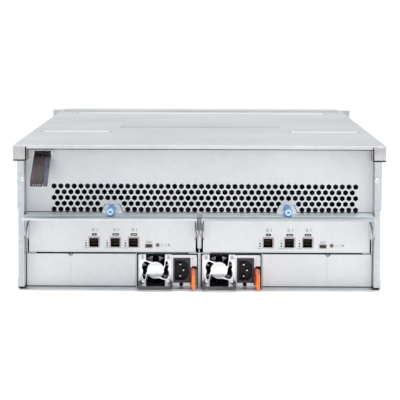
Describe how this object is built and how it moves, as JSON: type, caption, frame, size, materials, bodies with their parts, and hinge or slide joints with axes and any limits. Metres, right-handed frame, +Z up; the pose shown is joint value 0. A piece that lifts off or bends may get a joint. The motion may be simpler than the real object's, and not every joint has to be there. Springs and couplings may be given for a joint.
{
  "type": "disk shelf enclosure",
  "caption": "Rack-mounted steel disk shelf with a hexagon-perforated rear panel, two lever-locked I/O modules, two hot-swap power supplies and upright drives under a lift-off cover.",
  "frame": {"origin": "centre of the base tray's underside", "axes": "+X to the right as seen from the rear face with the ports, +Y from the rear face to the rack ears, +Z up"},
  "size_m": [0.4826, 0.894, 0.1762],
  "materials": {
    "shell_steel": "galvanised sheet",
    "cover_steel": "galvanised sheet, fine grain",
    "panel_steel": "zinc plated, satin",
    "face_steel": "nickel plated, satin",
    "lever_steel": "satin",
    "pin_steel": "polished",
    "inner_steel": "plain zinc",
    "blue_anodised": "blue anodised",
    "port_metal": "nickel",
    "guard_metal": "bright stamped",
    "psu_metal": "zinc plated",
    "board_green": "solder mask",
    "drive_metal": "cast",
    "fan_black": "moulded",
    "black_plastic": "moulded",
    "inlet_plastic": "moulded",
    "orange_plastic": "moulded",
    "lens_white": "diffusing"
  },
  "bodies": {
    "chassis": {"base_tray": "shell_steel", "side_wall_left": "shell_steel", "side_wall_right": "shell_steel", "top_rail_left": "shell_steel", "top_rail_right": "shell_steel", "rear_bracket_left": "shell_steel", "rear_bracket_right": "shell_steel", "rack_ear_left": "shell_steel", "rack_ear_right": "shell_steel", "front_panel": "shell_steel", "module_shelf": "inner_steel", "fan_deck": "inner_steel", "centre_divider": "inner_steel", "psu_dividers": "inner_steel", "drive_cage": "inner_steel", "vent_panel": "panel_steel", "blank_plates_left": "face_steel", "blank_plates_right": "face_steel", "midplane": "board_green", "drive_board": "board_green", "disk_drives": "drive_metal", "fan_frames": "fan_black", "lever_bracket": "pin_steel"},
    "cover": {"cover": "cover_steel"},
    "release_lever": {"release_lever": "black_plastic"},
    "fan_rotor_1": {"fan_rotor_1": "fan_black"},
    "fan_rotor_2": {"fan_rotor_2": "fan_black"},
    "fan_rotor_3": {"fan_rotor_3": "fan_black"},
    "fan_rotor_4": {"fan_rotor_4": "fan_black"},
    "fan_rotor_5": {"fan_rotor_5": "fan_black"},
    "io_module_a": {"io_a_tray": "lever_steel", "io_a_face": "face_steel", "io_a_board": "board_green", "io_a_ports": "port_metal", "io_a_pivots": "pin_steel"},
    "io_a_lever": {"io_a_lever": "lever_steel"},
    "io_a_thumbscrew": {"io_a_thumbscrew": "blue_anodised"},
    "psu_a": {"psu_a_case": "psu_metal", "psu_a_fan_frame": "fan_black", "psu_a_fan_guard": "guard_metal", "psu_a_inlet": "inlet_plastic", "psu_a_pull_loop": "black_plastic", "psu_a_status_lens": "lens_white"},
    "psu_a_rotor": {"psu_a_rotor": "fan_black"},
    "psu_a_latch": {"psu_a_latch": "orange_plastic"},
    "io_module_b": {"io_b_tray": "lever_steel", "io_b_face": "face_steel", "io_b_board": "board_green", "io_b_ports": "port_metal", "io_b_pivots": "pin_steel"},
    "io_b_lever": {"io_b_lever": "lever_steel"},
    "io_b_thumbscrew": {"io_b_thumbscrew": "blue_anodised"},
    "psu_b": {"psu_b_case": "psu_metal", "psu_b_fan_frame": "fan_black", "psu_b_fan_guard": "guard_metal", "psu_b_inlet": "inlet_plastic", "psu_b_pull_loop": "black_plastic", "psu_b_status_lens": "lens_white"},
    "psu_b_rotor": {"psu_b_rotor": "fan_black"},
    "psu_b_latch": {"psu_b_latch": "orange_plastic"}
  },
  "joints": [
    {"name": "cover_lift", "type": "slide", "parent": "chassis", "child": "cover", "axis": [0, 0, 1], "range_m": [0, 0.15]},
    {"name": "release_lever_hinge", "type": "hinge", "parent": "chassis", "child": "release_lever", "pos_m": [-0.1895, -0.406, 0.1634], "axis": [1, 0, 0], "range_deg": [-18, 12]},
    {"name": "fan_rotor_1_spin", "type": "hinge", "parent": "chassis", "child": "fan_rotor_1", "pos_m": [-0.166, -0.38, 0.1324], "axis": [0, 1, 0], "continuous": true},
    {"name": "fan_rotor_2_spin", "type": "hinge", "parent": "chassis", "child": "fan_rotor_2", "pos_m": [-0.083, -0.38, 0.1324], "axis": [0, 1, 0], "continuous": true},
    {"name": "fan_rotor_3_spin", "type": "hinge", "parent": "chassis", "child": "fan_rotor_3", "pos_m": [0, -0.38, 0.1324], "axis": [0, 1, 0], "continuous": true},
    {"name": "fan_rotor_4_spin", "type": "hinge", "parent": "chassis", "child": "fan_rotor_4", "pos_m": [0.083, -0.38, 0.1324], "axis": [0, 1, 0], "continuous": true},
    {"name": "fan_rotor_5_spin", "type": "hinge", "parent": "chassis", "child": "fan_rotor_5", "pos_m": [0.166, -0.38, 0.1324], "axis": [0, 1, 0], "continuous": true},
    {"name": "io_a_slide", "type": "slide", "parent": "chassis", "child": "io_module_a", "axis": [0, -1, 0], "range_m": [0, 0.2]},
    {"name": "io_a_lever_hinge", "type": "hinge", "parent": "io_module_a", "child": "io_a_lever", "pos_m": [-0.106, -0.425, 0.0696], "axis": [1, 0, 0], "range_deg": [0, 75]},
    {"name": "io_a_thumbscrew_turn", "type": "hinge", "parent": "io_a_lever", "child": "io_a_thumbscrew", "pos_m": [-0.106, -0.42, 0.0978], "axis": [0, 1, 0], "continuous": true},
    {"name": "psu_a_slide", "type": "slide", "parent": "chassis", "child": "psu_a", "axis": [0, -1, 0], "range_m": [0, 0.19]},
    {"name": "psu_a_fan_spin", "type": "hinge", "parent": "psu_a", "child": "psu_a_rotor", "pos_m": [-0.0533, -0.39, 0.0215], "axis": [0, 1, 0], "continuous": true},
    {"name": "psu_a_latch_press", "type": "hinge", "parent": "psu_a", "child": "psu_a_latch", "pos_m": [-0.0071, -0.388, 0.0175], "axis": [0, 0, 1], "range_deg": [-4, 0], "stiffness_Nm_per_rad": 0.5},
    {"name": "io_b_slide", "type": "slide", "parent": "chassis", "child": "io_module_b", "axis": [0, -1, 0], "range_m": [0, 0.2]},
    {"name": "io_b_lever_hinge", "type": "hinge", "parent": "io_module_b", "child": "io_b_lever", "pos_m": [0.106, -0.425, 0.0696], "axis": [1, 0, 0], "range_deg": [0, 75]},
    {"name": "io_b_thumbscrew_turn", "type": "hinge", "parent": "io_b_lever", "child": "io_b_thumbscrew", "pos_m": [0.106, -0.42, 0.0978], "axis": [0, 1, 0], "continuous": true},
    {"name": "psu_b_slide", "type": "slide", "parent": "chassis", "child": "psu_b", "axis": [0, -1, 0], "range_m": [0, 0.19]},
    {"name": "psu_b_fan_spin", "type": "hinge", "parent": "psu_b", "child": "psu_b_rotor", "pos_m": [0.0242, -0.39, 0.0215], "axis": [0, 1, 0], "continuous": true},
    {"name": "psu_b_latch_press", "type": "hinge", "parent": "psu_b", "child": "psu_b_latch", "pos_m": [0.0704, -0.388, 0.0175], "axis": [0, 0, 1], "range_deg": [-4, 0], "stiffness_Nm_per_rad": 0.5}
  ]
}
